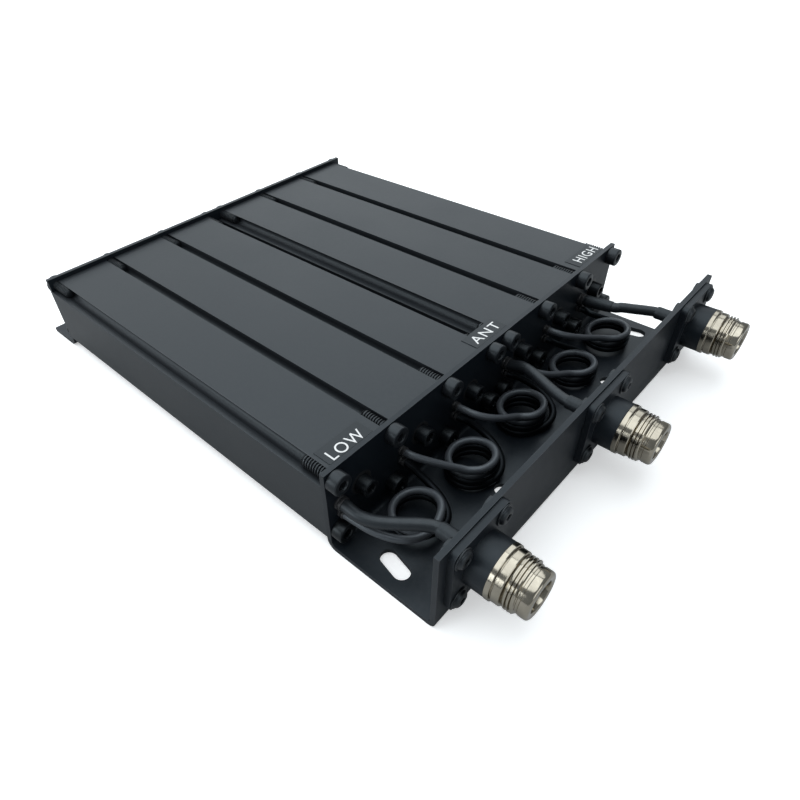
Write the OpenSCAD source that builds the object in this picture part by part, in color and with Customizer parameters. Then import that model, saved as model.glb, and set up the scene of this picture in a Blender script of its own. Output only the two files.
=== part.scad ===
// Six-cavity notch duplexer for a two-way radio. X runs across the cavities with the LOW side at -X,
// Y runs along them towards the rear, and Z is up. The origin is at the middle of the underside.
// Modules draw in a frame whose Y starts at the outer face of the front plate, and place() moves it.

/* [Cavity blocks] */
// Distance between the centres of neighbouring cavities
cavity_pitch = 28; // [27:0.5:34]
// Length of each extruded block of three cavities
block_l = 163; // [160:1:240]
// Height of each block
block_h = 27.2; // [27:0.1:30]
// Height of the blocks' underside above the surface that the unit stands on
block_z = 4.6; // [4:0.1:5]
// Air gap between the two blocks
block_gap = 2; // [1:0.5:6]
// Thickness of the block walls beside and above a cavity
wall = 1.8; // [1.5:0.1:2]

/* [Brackets] */
// Thickness of the bracket sheet
sheet = 1.8; // [1.5:0.1:2]
// Height of both end plates above the blocks' top
plate_rise = 1.8; // [1.5:0.1:4]
// Depth of the tray from the front plate to the front of the connector lip
tray_l = 40; // [39:1:60]
// Height of the connector lip
lip_h = 33; // [32.8:0.1:36]
// Length of the rear foot behind the rear plate
foot_l = 17.4; // [16:0.2:30]
// Outer radius of the sheet bends
bend_r = 3.8; // [3:0.1:4]

/* [Tuning] */
// Height of the tuning screws
tune_z = 19; // [18.5:0.1:19.5]
// Length of a tuning screw that stands out of the front plate
tune_out = 4.2; // [3:0.1:6]
// Length of each resonator tube
resonator_l = 123; // [120:1:140]
// Free travel of a plunger each way from the middle
plunger_travel = 7; // [3:0.5:10]

/* [Connectors] */
// Distance of the outer connectors from the middle
connector_x = 70; // [68:0.5:72]
// Height of the connector axes
connector_z = 19.6; // [19.5:0.1:19.8]
// Radius of the coupling thread
thread_r = 7.94; // [7.9:0.01:7.98]
// Width of the square connector flange
flange_w = 25.4; // [25:0.1:26]

/* [Hidden] */

// Overlap of a cutting shape past the face that it cuts
cut = 1;
cavities = 6;
cavities_a_block = 3;

// Block sizes and places
block_edge = 0.5;
block_w = cavities_a_block * cavity_pitch + 2 * block_edge;
block_x = (block_w + block_gap) / 2;
block_top = block_z + block_h;
plate_h = block_top + plate_rise;
unit_w = 2 * block_w + block_gap;
cavity_floor = 2.2;
cavity_w = cavity_pitch - wall;
cavity_h = block_h - cavity_floor - wall;
cavity_corner_r = 11;

// Cap screws, M4, with a channel for each along the block
cap_head_r = 3.5;
cap_head_l = 4;
cap_r = 2;
cap_l = 12;
cap_socket = 3;
cap_socket_depth = 2;
cap_hole_r = 2.2;
channel_r = 2.05;
channel_mouth = 3.9;
corner_screw_in = 3.6;
cap_down = 2;
rim_drop = 3.6;
bottom_head_gap = 0.1;
top_screw_z = block_top - cap_down;

// Button heads of the rear screws, M4
rear_head_r = 3.8;
rear_head_l = 2.2;
rear_socket = 2.5;
rear_socket_depth = 1.3;
bottom_screw_z = bend_r + rear_head_r + bottom_head_gap;

// Rear plate and foot
rear_y = sheet + block_l;
foot_end = rear_y + sheet + foot_l;

// Mounting holes: front slots that lean outwards, round tray holes and rear slots along X
slot_l = 12;
slot_r = 2.85;
slot_in = 7.8;
slot_y = -19;
slot_lean = 13;
tray_hole_r = 2.6;
tray_holes = [[-33, -26.8], [40.3, -27]];
tie_hole_r = 1.8;
tie_hole = [-39.5, -17];
rear_slot_in = 11;
rear_slot_back = 9.4;

// Bush, captive lead screw, resonator tube and plunger, each on the axis of its cavity
bush_r = 4.2;
bush_l = 6;
bush_step = 3;
turn_gap = 0.05;
tune_r = 3.1;
neck_r = 2.15;
collar_r = 3.6;
collar_l = 1;
lead_r = 2;
lead_end = 62;
tune_socket = 3;
tune_socket_depth = 2.5;
tube_wall = 0.8;
slide_gap = 0.08;
plunger_start = 45;
plunger_end = 150;
plunger_bore_l = 32;
plunger_bore_gap = 0.08;
plunger_back_r = 3.2;
plunger_web = 8;
key_w = 1.2;
key_gap = 0.1;
key_start = 58;
key_l = 8;
key_room = 2;

// The lip's bend is sharper than the others
lip_bend_r = 2.5;

// Cable ports in the front plate, beside each cavity's centre
ant_port = 4;
port_side = 9.5;
port_top_z = 18.5;
port_low_z = 14;
third_port_side = 3.8;
third_port_z = 16.2;
port_gap = 0.1;
ferrule_wall = 0.4;
ferrule_l = 2;
loop_wire_r = 0.7;
loop_reach = 24;

// Cables: each jumper lies in a coil of two or three turns that rests in the tray
jumper_r = 1.2;
feed_r = 2;
feed_straight = 1.2;
cord_sides = 8;
stub_y = -2.5;
coil_r = 7.7;
coil_drop = 2.7;
coil_step = 30;
coil_rise_shares = [0.04, -0.09];
coil_asides = [4.3, 4.7, 7.9, 13.9, 14.5];
coil_ys = [-14.3, -14.7, -13.3, -14.6, -14.4];
coil_zs = [10.2, 12, 11.4, 9.4, 9.8];
coil_starts = [-60, -150, -150, -150, -150];
coil_ends = [600, 960, 960, 640, 640];
lead_in_steps = 6;
lead_out_steps = 8;
lead_in_pulls = [[21, 12], [4, 4], [13.5, 3.4], [15.2, 5.2], [10, 6]];
lead_out_pulls = [16, 16, 20, 20, 20];
lead_out_bends = [[4, -8, -9], [10, -8, -9], [10, -8, -6], [10, -4, -9], [10, -4, -9]];

// Connectors: distances are in front of the lip's face, radii are from the connector's axis
flange_t = 2.2;
flange_corner_r = 2.5;
collar_front = 8.6;
flange_collar_r = 8.5;
shell_seat_r = 6.6;
shell_ring_r = 8.6;
ring_end = 10.2;
groove_r = 7.7;
groove_end = 10.6;
band_r = 8.15;
band_end = 13;
thread_end = 17;
undercut_r = 7.1;
undercut_end = 17.8;
nose_r = 7.2;
nose_end = 20.7;
nose_chamfer = 0.4;
mouth_r = 4.7;
mouth_back = 9.5;
bead_r = 3.5;
bead_back = -2;
back_body_r = 5.4;
back_body_l = 1.8;
lip_hole_r = 5.5;
barrel_r = 2.3;
barrel_back = -8.8;
barrel_bore_r = 1.3;
contact_r = 1.55;
contact_end = 16.5;
contact_tail_r = 0.9;
contact_bore_r = 0.85;
contact_bore_l = 5;
contact_slit = 0.35;
contact_slit_l = 4;
sleeve_wall = 0.5;
sleeve_front = -4;
sleeve_back = -11.4;
plate_sleeve_gap = 0.15;

// Flange screws, M3 with flanged button heads, and round clinch nuts behind the lip
flange_pitch = 18.26;
button_rim_r = 3.45;
button_rim_l = 0.5;
button_r = 2.85;
button_l = 1.65;
button_socket = 2;
button_socket_depth = 1;
m3_r = 1.5;
m3_hole_r = 1.65;
nut_r = 3;
nut_l = 1.2;

// Labels on the top panels
label_w = 18;
label_d = 7;
label_t = 0.2;
label_y = 3;

// Length of the whole, which sets the middle
front_end = -tray_l - nose_end;
middle_y = (front_end + foot_end) / 2;

// Values worked out for a cavity, a port or a cable by its number
function cavity_x(k) = (k <= cavities_a_block ? -block_x : block_x)
    + ((k - 1) % cavities_a_block - 1) * cavity_pitch;
function port_x(k) = cavity_x(k) - port_side;
function port_has_feed(k) = k == 1 || k == ant_port || k == cavities;
function coil_x(k) = (port_x(k) + port_x(k + 1)) / 2 + coil_asides[k - 1];
function screw_xs() = [for (side = [-1, 1], i = [-1.5, -0.5, 0.5, 1.5])
    side * block_x + (abs(i) > 1 ? sign(i) * (block_w / 2 - corner_screw_in) : i * cavity_pitch)];
function jumper_start(k) = k == 1 ? [port_x(1), port_low_z]
    : k == ant_port ? [port_x(ant_port) + third_port_side, third_port_z]
    : [port_x(k), port_top_z];
function jumper_end(k) = [port_x(k + 1), port_low_z];

// Vectors and curves for the cables
function unit(v) = v / norm(v);
function bezier(a, b, c, d, t) =
    pow(1 - t, 3) * a + 3 * pow(1 - t, 2) * t * b + 3 * (1 - t) * t * t * c + t * t * t * d;
function coil_point(k, angle) = let (
    x = coil_r * cos(angle),
    y = coil_r * sin(angle)
) [coil_x(k) + x, coil_ys[k - 1] + y, coil_zs[k - 1] - coil_drop * (angle - coil_starts[k - 1]) / 360
    + coil_rise_shares[0] * x + coil_rise_shares[1] * y];
function coil_heading(angle) = [-sin(angle), cos(angle), 0];
function jumper_route(k) = let (
    s = jumper_start(k),
    e = jumper_end(k),
    from = [s[0], stub_y, s[1]],
    to = [e[0], stub_y, e[1]],
    start = coil_starts[k - 1],
    end = coil_ends[k - 1],
    steps = ceil((end - start) / coil_step),
    first = coil_point(k, start),
    last = coil_point(k, end),
    pulls = lead_in_pulls[k - 1]
) concat(
    [[s[0], sheet, s[1]]],
    [for (i = [0 : lead_in_steps - 1]) bezier(from, from - [0, pulls[0], 0],
        first - pulls[1] * coil_heading(start), first, i / lead_in_steps)],
    [for (i = [0 : steps]) coil_point(k, start + (end - start) * i / steps)],
    [for (i = [1 : lead_out_steps]) bezier(last, last + lead_out_pulls[k - 1] * coil_heading(end),
        to + lead_out_bends[k - 1], to, i / lead_out_steps)],
    [[e[0], sheet, e[1]]]
);

// Points of each feed between its port and its connector, as shares of the way across, forwards and up
feed_back = -tray_l - barrel_back;
low_shares = [[0, 0.18, -0.25], [0.15, 0.36, -0.1], [0.42, 0.54, 0.45], [0.73, 0.72, 1.1],
    [0.95, 0.86, 1.2]];
ant_shares = [[-0.03, 0.18, 1.2], [0.18, 0.36, 1.3], [0.47, 0.54, 1.05], [0.74, 0.7, 0.9],
    [0.95, 0.86, 0.95]];
high_shares = [[0.15, 0.39, 0.63], [0.34, 0.5, 0.96], [0.54, 0.62, 1], [0.75, 0.75, 1.08],
    [0.95, 0.88, 1.1]];
function feed_route(k, x, shares) = let (
    from = [port_x(k), stub_y, port_top_z],
    to = [x, feed_back, connector_z]
) concat(
    [[from[0], sheet, from[2]], from],
    [for (s = shares) [for (i = [0 : 2]) from[i] + s[i] * (to[i] - from[i])]],
    [to + [0, feed_straight, 0], to]
);

// Moves the working frame to the unit's own frame
module place() {
    translate([0, -middle_y, 0])
        children();
}

// Round bar along Y, at x and z
module rod(x, z, r, from, to) {
    translate([x, from, z])
        rotate([-90, 0, 0])
            cylinder(r = r, h = to - from, $fn = 64);
}

// Hexagonal bar along Y, with its size across the flats
module hex_rod(x, z, flats, from, to) {
    translate([x, from, z])
        rotate([-90, 0, 0])
            cylinder(r = flats / sqrt(3), h = to - from, $fn = 6);
}

// Solid along Y from an outline in X and Z
module along_y(from, to) {
    translate([0, to, 0])
        rotate([90, 0, 0])
            linear_extrude(to - from)
                children();
}

// Solid across the unit from an outline in Y and Z
module across(w) {
    translate([-w / 2, 0, 0])
        rotate([90, 0, 90])
            linear_extrude(w)
                children();
}

module rounded_outline(w, h, r) {
    square([w - 2 * r, h], center = true);
    square([w, h - 2 * r], center = true);
    for (sx = [-1, 1], sy = [-1, 1])
        translate([sx * (w / 2 - r), sy * (h / 2 - r)])
            circle(r, $fn = 64);
}

// Long hole along X, through a sheet that lies flat
module slot_cut(length, r) {
    for (side = [-1, 1])
        translate([side * (length / 2 - r), 0, -cut])
            cylinder(r = r, h = sheet + 2 * cut, $fn = 64);
    translate([r - length / 2, -r, -cut])
        cube([length - 2 * r, 2 * r, sheet + 2 * cut]);
}

// Quarter of a bent sheet with its outer radius, on the side of its centre given by the sign
module bend_outline(side, r) {
    intersection() {
        difference() {
            circle(r, $fn = 96);
            circle(r - sheet, $fn = 96);
        }
        translate([side > 0 ? 0 : -r, -r])
            square(r);
    }
}

module plate_holes(front) {
    from = front ? -cut : rear_y - cut;
    to = from + sheet + 2 * cut;
    for (x = screw_xs(), z = [top_screw_z, bottom_screw_z])
        rod(x, z, cap_hole_r, from, to);
}

module front_bracket() {
    floor_from = lip_bend_r - tray_l;
    floor_to = sheet - bend_r;
    color([0.13, 0.135, 0.15])
    place()
    difference() {
        across(unit_w) {
            translate([0, bend_r])
                square([sheet, plate_h - bend_r]);
            translate([floor_to, bend_r])
                bend_outline(1, bend_r);
            translate([floor_from, 0])
                square([floor_to - floor_from, sheet]);
            translate([floor_from, lip_bend_r])
                bend_outline(-1, lip_bend_r);
            translate([-tray_l, lip_bend_r])
                square([sheet, lip_h - lip_bend_r]);
        }
        plate_holes(true);
        for (k = [1 : cavities]) {
            rod(cavity_x(k), tune_z, bush_r, -cut, sheet + cut);
            cable_r = port_has_feed(k) ? feed_r : jumper_r;
            rod(port_x(k), port_top_z, cable_r + port_gap, -cut, sheet + cut);
            rod(port_x(k), port_low_z, jumper_r + port_gap, -cut, sheet + cut);
        }
        rod(port_x(ant_port) + third_port_side, third_port_z, jumper_r + port_gap, -cut, sheet + cut);
        for (side = [-1, 1])
            translate([side * (unit_w / 2 - slot_in), slot_y, 0])
                rotate([0, 0, 90 + side * slot_lean])
                    slot_cut(slot_l, slot_r);
        for (hole = tray_holes)
            translate([hole[0], hole[1], -cut])
                cylinder(r = tray_hole_r, h = sheet + 2 * cut, $fn = 64);
        translate([tie_hole[0], tie_hole[1], -cut])
            cylinder(r = tie_hole_r, h = sheet + 2 * cut, $fn = 64);
        for (x = [-connector_x, 0, connector_x]) {
            rod(x, connector_z, lip_hole_r, -tray_l - cut, -tray_l + sheet + cut);
            for (sx = [-1, 1], sz = [-1, 1])
                rod(x + sx * flange_pitch / 2, connector_z + sz * flange_pitch / 2, m3_hole_r,
                    -tray_l - cut, -tray_l + sheet + cut);
        }
    }
}

module rear_bracket() {
    bend_y = rear_y + bend_r;
    color([0.13, 0.135, 0.15])
    place()
    difference() {
        across(unit_w) {
            translate([rear_y, bend_r])
                square([sheet, plate_h - bend_r]);
            translate([bend_y, bend_r])
                bend_outline(-1, bend_r);
            translate([bend_y, 0])
                square([foot_end - bend_y, sheet]);
        }
        plate_holes(false);
        for (side = [-1, 1])
            translate([side * (unit_w / 2 - rear_slot_in), rear_y + sheet + rear_slot_back, 0])
                slot_cut(slot_l, slot_r);
    }
}

module block_outline() {
    corner_r = min(cavity_corner_r, cavity_h / 2, cavity_w / 2);
    difference() {
        translate([-block_w / 2, block_z])
            square([block_w, block_h]);
        for (i = [-1, 0, 1])
            translate([i * cavity_pitch, block_z + cavity_floor + cavity_h / 2])
                rounded_outline(cavity_w, cavity_h, corner_r);
        for (side = [-1, 1]) {
            translate([side * cavity_pitch / 2, top_screw_z])
                circle(channel_r, $fn = 48);
            translate([side * cavity_pitch / 2 - channel_mouth / 2, top_screw_z])
                square([channel_mouth, cap_down + cut]);
            translate([side * (block_w / 2 - corner_screw_in), top_screw_z])
                circle(channel_r, $fn = 48);
            translate([side > 0 ? block_w / 2 - corner_screw_in : -block_w / 2 - cut, block_top - rim_drop])
                square([corner_screw_in + cut, rim_drop + cut]);
            for (x = [cavity_pitch / 2, block_w / 2 - corner_screw_in])
                translate([side * x, bottom_screw_z])
                    circle(channel_r, $fn = 48);
        }
    }
}

module cavity_block(side) {
    color([0.17, 0.175, 0.19])
    place()
    translate([side * block_x, 0, 0])
        along_y(sheet, sheet + block_l)
            block_outline();
}

module resonator_tube(k) {
    slot_reach = plunger_travel + key_room;
    slot_w = key_w + 2 * key_gap;
    color([0.72, 0.45, 0.2])
    place()
    difference() {
        rod(cavity_x(k), tune_z, bush_r + tube_wall, sheet, sheet + resonator_l);
        rod(cavity_x(k), tune_z, bush_r, sheet - cut, sheet + resonator_l + cut);
        translate([cavity_x(k) - slot_w / 2, key_start - slot_reach, tune_z - bush_r - tube_wall - cut])
            cube([slot_w, key_l + 2 * slot_reach, tube_wall + 2 * cut]);
    }
}

module tuning_bushes() {
    color([0.16, 0.16, 0.17])
    place()
    for (k = [1 : cavities])
        difference() {
            rod(cavity_x(k), tune_z, bush_r, 0, bush_l);
            rod(cavity_x(k), tune_z, tune_r + turn_gap, -cut, bush_step);
            rod(cavity_x(k), tune_z, neck_r + turn_gap, 0, bush_l + cut);
        }
}

// Screw that turns in its bush but stays in place, held by a shoulder and a collar
module tuning_screw(k) {
    collar_y = bush_l + turn_gap;
    color([0.2, 0.2, 0.21])
    place()
    difference() {
        union() {
            rod(cavity_x(k), tune_z, tune_r, -tune_out, bush_step - turn_gap);
            rod(cavity_x(k), tune_z, neck_r, 0, collar_y);
            rod(cavity_x(k), tune_z, collar_r, collar_y, collar_y + collar_l);
            rod(cavity_x(k), tune_z, lead_r, collar_y, lead_end);
        }
        hex_rod(cavity_x(k), tune_z, tune_socket, -tune_out - cut, tune_socket_depth - tune_out);
    }
}

// Hollow plunger that slides out of the resonator tube as the screw turns
module tuning_plunger(k) {
    key_depth = tube_wall - slide_gap;
    color([0.8, 0.55, 0.3])
    place()
    difference() {
        union() {
            rod(cavity_x(k), tune_z, bush_r - slide_gap, plunger_start, plunger_end);
            translate([cavity_x(k) - key_w / 2, key_start, tune_z - bush_r - key_depth])
                cube([key_w, key_l, 2 * key_depth]);
        }
        rod(cavity_x(k), tune_z, lead_r + plunger_bore_gap, plunger_start - cut,
            plunger_start + plunger_bore_l);
        rod(cavity_x(k), tune_z, plunger_back_r, plunger_start + plunger_bore_l + plunger_web,
            plunger_end + cut);
    }
}

// Hairpin of stiff wire behind each pair of ports
module coupling_loop(k) {
    bend = (port_top_z - port_low_z) / 2;
    color([0.8, 0.6, 0.25])
    place() {
        for (z = [port_low_z, port_top_z])
            rod(port_x(k), z, loop_wire_r, sheet, loop_reach);
        translate([port_x(k), loop_reach, port_low_z + bend])
            rotate([0, 90, 0])
                rotate_extrude(angle = 180, $fn = 48)
                    translate([bend, 0])
                        circle(loop_wire_r, $fn = 24);
    }
}

// Tube swept along a route
module cord(route, r) {
    last = len(route) - 1;
    points = [for (i = [0 : last]) let (
        heading = unit(route[min(i + 1, last)] - route[max(i - 1, 0)]),
        aside = unit(cross(heading, [0, 0, 1])),
        above = cross(aside, heading)
    ) for (j = [0 : cord_sides - 1])
        route[i] + r * (cos(360 * j / cord_sides) * aside + sin(360 * j / cord_sides) * above)];
    walls = [for (i = [0 : last - 1], j = [0 : cord_sides - 1]) let (n = (j + 1) % cord_sides)
        [i * cord_sides + j, i * cord_sides + n, (i + 1) * cord_sides + n, (i + 1) * cord_sides + j]];
    first_end = [[for (j = [0 : cord_sides - 1]) cord_sides - 1 - j]];
    last_end = [[for (j = [0 : cord_sides - 1]) last * cord_sides + j]];
    polyhedron(points, concat(walls, first_end, last_end));
}

module jumper_cable(k) {
    color([0.16, 0.165, 0.17])
    place()
        cord(jumper_route(k), jumper_r);
}

module feed_cable(k, x, shares) {
    color([0.15, 0.155, 0.16])
    place()
        cord(feed_route(k, x, shares), feed_r);
}

// Turns its children's Z to the way from one point to another
module along_line(from, to) {
    way = unit(to - from);
    translate(from)
        rotate([0, acos(way[2]), atan2(way[1], way[0])])
            children();
}

module ring(x, z, r, from, to) {
    difference() {
        rod(x, z, r + ferrule_wall, from, to);
        rod(x, z, r, from - cut, to + cut);
    }
}

module port_ferrules() {
    color([0.3, 0.3, 0.31])
    place() {
        for (k = [1, ant_port, cavities])
            ring(port_x(k), port_top_z, feed_r, -ferrule_l, 0);
        for (k = [1 : cavities - 1]) {
            ring(jumper_start(k)[0], jumper_start(k)[1], jumper_r, -ferrule_l, 0);
            ring(jumper_end(k)[0], jumper_end(k)[1], jumper_r, -ferrule_l, 0);
        }
    }
}

// Shrunk sleeves on the back of each connector, and one at the plate end of the HIGH feed
module feed_sleeves() {
    high_route = feed_route(cavities, connector_x, high_shares);
    sleeve_l = norm(high_route[2] - high_route[1]);
    color([0.14, 0.14, 0.15])
    place() {
        for (x = [-connector_x, 0, connector_x])
            difference() {
                rod(x, connector_z, barrel_r + sleeve_wall, -tray_l - sleeve_front, -tray_l - sleeve_back);
                rod(x, connector_z, barrel_r, -tray_l - sleeve_front - cut, feed_back);
                rod(x, connector_z, feed_r + sleeve_wall, feed_back, -tray_l - sleeve_back + cut);
            }
        along_line(high_route[1], high_route[2])
            difference() {
                disc(feed_r + plate_sleeve_gap + sleeve_wall, 0, sleeve_l);
                disc(feed_r + plate_sleeve_gap, -cut, sleeve_l + cut);
            }
    }
}

// Places its children, drawn with Z out of the lip, at a connector
module at_connector(x) {
    place()
        translate([x, -tray_l, connector_z])
            rotate([90, 0, 0])
                children();
}

module disc(r, from, to) {
    translate([0, 0, from])
        cylinder(r = r, h = to - from, $fn = 96);
}

module connector_flange(x) {
    color([0.13, 0.13, 0.14])
    at_connector(x)
    difference() {
        union() {
            linear_extrude(flange_t)
                rounded_outline(flange_w, flange_w, flange_corner_r);
            disc(flange_collar_r, 0, collar_front);
        }
        disc(shell_seat_r, -cut, collar_front + cut);
        for (sx = [-1, 1], sy = [-1, 1])
            translate([sx * flange_pitch / 2, sy * flange_pitch / 2, -cut])
                cylinder(r = m3_hole_r, h = flange_t + 2 * cut, $fn = 48);
    }
}

module connector_shell(x) {
    color([0.78, 0.76, 0.72])
    at_connector(x)
    difference() {
        union() {
            disc(barrel_r, barrel_back, bead_back);
            disc(back_body_r, bead_back - back_body_l, 0);
            disc(shell_seat_r, 0, collar_front);
            disc(shell_ring_r, collar_front, ring_end);
            disc(groove_r, ring_end, groove_end);
            disc(band_r, groove_end, band_end);
            disc(thread_r, band_end, thread_end);
            disc(undercut_r, thread_end, undercut_end);
            disc(nose_r, undercut_end, nose_end - nose_chamfer);
            translate([0, 0, nose_end - nose_chamfer])
                cylinder(r1 = nose_r, r2 = nose_r - nose_chamfer, h = nose_chamfer, $fn = 96);
        }
        disc(mouth_r, mouth_back, nose_end + cut);
        disc(bead_r, bead_back, mouth_back + cut);
        disc(barrel_bore_r, barrel_back - cut, 0);
    }
}

module connector_insulator(x) {
    color([0.93, 0.93, 0.9])
    at_connector(x)
    difference() {
        disc(bead_r, bead_back, mouth_back);
        disc(contact_r, bead_back - cut, mouth_back + cut);
    }
}

module connector_contact(x) {
    color([0.85, 0.68, 0.3])
    at_connector(x)
    difference() {
        union() {
            disc(contact_tail_r, barrel_back, bead_back);
            disc(contact_r, bead_back, contact_end);
        }
        disc(contact_bore_r, contact_end - contact_bore_l, contact_end + cut);
        for (turn = [0, 90])
            rotate([0, 0, turn])
                translate([-contact_r - cut, -contact_slit / 2, contact_end - contact_slit_l])
                    cube([2 * (contact_r + cut), contact_slit, contact_slit_l + cut]);
    }
}

module at_flange_holes() {
    for (x = [-connector_x, 0, connector_x])
        at_connector(x)
            for (sx = [-1, 1], sy = [-1, 1])
                translate([sx * flange_pitch / 2, sy * flange_pitch / 2, 0])
                    children();
}

module flange_screws() {
    color([0.14, 0.14, 0.15])
    at_flange_holes()
    difference() {
        union() {
            disc(button_rim_r, flange_t, flange_t + button_rim_l);
            disc(button_r, flange_t, flange_t + button_l);
            disc(m3_r, -sheet - nut_l, flange_t);
        }
        translate([0, 0, flange_t + button_l - button_socket_depth])
            cylinder(r = button_socket / sqrt(3), h = button_socket_depth + cut, $fn = 6);
    }
}

module flange_nuts() {
    color([0.15, 0.15, 0.16])
    at_flange_holes()
    difference() {
        disc(nut_r, -sheet - nut_l, -sheet);
        disc(m3_r, -sheet - nut_l - cut, 0);
    }
}

// Screws through an end plate: cap heads in front, button heads where back is true
module cap_screws(z, back) {
    face = back ? rear_y + sheet : 0;
    way = back ? -1 : 1;
    head_r = back ? rear_head_r : cap_head_r;
    head_l = back ? rear_head_l : cap_head_l;
    socket = back ? rear_socket : cap_socket;
    socket_depth = back ? rear_socket_depth : cap_socket_depth;
    color([0.12, 0.12, 0.13])
    place()
    for (x = screw_xs())
        translate([x, face, z])
            rotate([-90 * way, 0, 0])
                difference() {
                    union() {
                        translate([0, 0, -head_l])
                            cylinder(r = head_r, h = head_l, $fn = 64);
                        cylinder(r = cap_r, h = cap_l, $fn = 48);
                    }
                    translate([0, 0, -head_l - cut])
                        cylinder(r = socket / sqrt(3), h = socket_depth + cut, $fn = 6);
                }
}

module label(x) {
    color([0.2, 0.21, 0.23])
    place()
    translate([x - label_w / 2, label_y, block_top])
        cube([label_w, label_d, label_t]);
}

front_bracket();
rear_bracket();
cavity_block(-1);  // cavity_block_low
cavity_block(1);  // cavity_block_high
for (k = [1 : cavities]) {
    resonator_tube(k);
    tuning_plunger(k);
    tuning_screw(k);
    coupling_loop(k);
}
tuning_bushes();
for (k = [1 : cavities - 1])
    jumper_cable(k);
feed_cable(1, -connector_x, low_shares);  // feed_cable_low
feed_cable(ant_port, 0, ant_shares);  // feed_cable_ant
feed_cable(cavities, connector_x, high_shares);  // feed_cable_high
port_ferrules();
feed_sleeves();
connector_flange(-connector_x);  // connector_flange_low
connector_flange(0);  // connector_flange_ant
connector_flange(connector_x);  // connector_flange_high
connector_shell(-connector_x);  // connector_shell_low
connector_shell(0);  // connector_shell_ant
connector_shell(connector_x);  // connector_shell_high
connector_insulator(-connector_x);  // connector_insulator_low
connector_insulator(0);  // connector_insulator_ant
connector_insulator(connector_x);  // connector_insulator_high
connector_contact(-connector_x);  // connector_contact_low
connector_contact(0);  // connector_contact_ant
connector_contact(connector_x);  // connector_contact_high
flange_screws();
flange_nuts();
cap_screws(top_screw_z, false);  // front_top_screws
cap_screws(bottom_screw_z, false);  // front_bottom_screws
cap_screws(top_screw_z, true);  // rear_top_screws
cap_screws(bottom_screw_z, true);  // rear_bottom_screws
label(cavity_x(1));  // label_low
label(0);  // label_ant
label(cavity_x(cavities));  // label_high
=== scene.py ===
# %% [markdown]
# # A six-cavity duplexer on a studio table
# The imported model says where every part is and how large. This lesson gives the parts their looks:
# soft sheet edges, cut threads, smooth cables, lettering and black, nickel and plastic finishes.
# Sizes are in millimetres where a part is described, and in metres once it is a Blender mesh.

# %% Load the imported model
import math

import bmesh
import bpy
from mathutils import Matrix, Vector


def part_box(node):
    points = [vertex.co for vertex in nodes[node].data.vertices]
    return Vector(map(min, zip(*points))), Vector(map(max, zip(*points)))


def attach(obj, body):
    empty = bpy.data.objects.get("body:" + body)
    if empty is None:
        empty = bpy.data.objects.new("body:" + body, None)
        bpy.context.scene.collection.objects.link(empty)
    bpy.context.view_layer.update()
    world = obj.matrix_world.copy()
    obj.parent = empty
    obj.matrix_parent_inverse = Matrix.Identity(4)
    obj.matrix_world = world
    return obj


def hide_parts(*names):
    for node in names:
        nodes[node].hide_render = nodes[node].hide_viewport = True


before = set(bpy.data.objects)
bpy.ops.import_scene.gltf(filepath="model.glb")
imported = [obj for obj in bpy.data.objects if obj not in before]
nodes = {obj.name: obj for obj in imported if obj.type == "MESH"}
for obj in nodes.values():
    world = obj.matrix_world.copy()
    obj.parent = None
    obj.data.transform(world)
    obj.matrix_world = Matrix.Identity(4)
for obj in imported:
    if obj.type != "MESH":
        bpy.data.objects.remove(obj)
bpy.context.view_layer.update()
MM = 0.001
SHEET = 1.8
plate_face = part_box("cavity_block_low")[0].y - SHEET * MM
print("nodes:", len(nodes), "front plate face at y", round(plate_face, 5))

# %% [markdown]
# ## The camera
# The photograph was taken from the front left and above with a wide lens. The camera's place was
# solved from the object's corners, so the render can be laid over the photograph.

# %% The camera
lens = bpy.data.cameras.new("studio_camera")
lens.sensor_width = 36
lens.lens = 27.2528
lens.shift_x = 0.04398
lens.shift_y = 0.01355
lens.clip_start = 0.01
camera = bpy.data.objects.new("studio_camera", lens)
camera.location = (-0.155233, -0.148515, 0.158622)
camera.rotation_euler = (0.828273, 0.040824, -0.822193)
bpy.context.scene.collection.objects.link(camera)
bpy.context.scene.camera = camera
print("camera at", tuple(round(v, 4) for v in camera.location))

# %% [markdown]
# ## Mesh helpers
# Turned parts such as screws, ferrules and connector shells are skins stretched over a stack of
# rings. A ring may be round, hexagonal, or lean like a screw thread. A primitive cylinder with a
# bump map would look flat from close by, so the threads and sockets here are real geometry.

# %% Rings for turned parts
def spot(x, y, z):
    """A point given in millimetres, with y measured from the front plate's outer face."""
    return Vector((x * MM, plate_face + y * MM, z * MM))


def turns(sides):
    return [2 * math.pi * j / sides for j in range(sides)]


def round_point(radius, angle, z):
    return Vector((radius * math.cos(angle), radius * math.sin(angle), z))


def round_ring(radius, z, sides=48):
    return [round_point(radius, a, z) for a in turns(sides)]


def round_rings(profile, sides=48):
    """Round rings through a profile of (radius, z) pairs."""
    return [round_ring(radius, z, sides) for radius, z in profile]


def hex_ring(flats, z, sides=48):
    """A hexagon of a given size across its flats."""
    sixth = math.pi / 3
    return [round_point(flats / 2 / math.cos(a % sixth - sixth / 2), a, z) for a in turns(sides)]


# The shares of a pitch at which the root begins and ends, and the crest begins and ends.
THREAD_STEPS = (0, 0.3, 0.5, 0.8)


def thread_rings(outer, root, pitch, start, end, sides=48):
    """Rings that climb one pitch a turn, so that their crests make a right-hand thread."""
    rings = []
    pitches = math.ceil((end - start) / pitch) + 1
    for step in range(4 * pitches + 1):
        pitches_up = step // 4 + THREAD_STEPS[step % 4] - 1
        height = outer if step % 4 > 1 else root
        ring = []
        for j, a in enumerate(turns(sides)):
            z = min(max(start + pitch * (pitches_up + j / sides), start), end)
            radius = min(height, root + (z - start), root + (end - z))
            ring.append(round_point(radius, a, z))
        rings.append(ring)
    return rings


print("points in a ring:", len(round_ring(1, 0)))

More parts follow.
